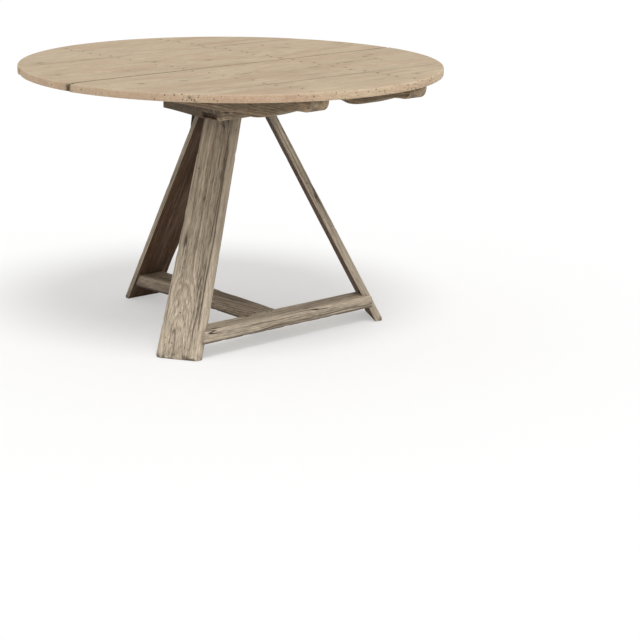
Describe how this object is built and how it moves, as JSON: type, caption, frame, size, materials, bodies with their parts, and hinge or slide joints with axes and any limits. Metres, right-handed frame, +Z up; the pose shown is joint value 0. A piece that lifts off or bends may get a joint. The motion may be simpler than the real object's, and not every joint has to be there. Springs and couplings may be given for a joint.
{
  "type": "tilt-top table",
  "caption": "Round tilt-top table: a plank top on shaped battens tips on wooden pins in a heavy block over splayed plank legs tied by a T-shaped stretcher, held by a turn button.",
  "frame": {"origin": "on the floor, under the middle of the round top", "axes": "+Z up, +X along the boards and the pivot line, +Y along the battens away from the pivots; the top is drawn flat"},
  "size_m": [1.1978, 1.1998, 0.755],
  "materials": {
    "top_wood": "bare bleached pine, matt",
    "batten_wood": "bare weathered oak, matt",
    "block_wood": "bare weathered oak, matt",
    "base_wood": "bare weathered oak, matt",
    "dark_wood": "bare dark oak, matt",
    "nail_iron": "rusted iron"
  },
  "bodies": {
    "base": {"top_block": "block_wood", "left_pivot_pin": "dark_wood", "right_pivot_pin": "dark_wood", "front_leg": "base_wood", "right_leg": "base_wood", "back_leg": "base_wood", "leg_tenon_pegs": "dark_wood", "back_leg_wedge": "dark_wood", "long_stretcher": "base_wood", "cross_stretcher": "base_wood", "stretcher_pegs": "dark_wood", "catch_keeper": "batten_wood", "keeper_nails": "nail_iron"},
    "top": {"board_1": "top_wood", "board_2": "top_wood", "board_3": "top_wood", "board_4": "top_wood", "left_batten": "batten_wood", "right_batten": "batten_wood", "left_batten_nails": "nail_iron", "right_batten_nails": "nail_iron", "catch_spacer": "batten_wood", "catch_screw": "nail_iron"},
    "button": {"catch_button": "batten_wood"}
  },
  "joints": [
    {"name": "top_tilt", "type": "hinge", "parent": "base", "child": "top", "pos_m": [0, -0.106, 0.694], "axis": [1, 0, 0], "range_deg": [0, 72.9]},
    {"name": "button_turn", "type": "hinge", "parent": "top", "child": "button", "pos_m": [0, 0.17, 0.7], "axis": [0, 0, -1], "range_deg": [0, 90]}
  ]
}
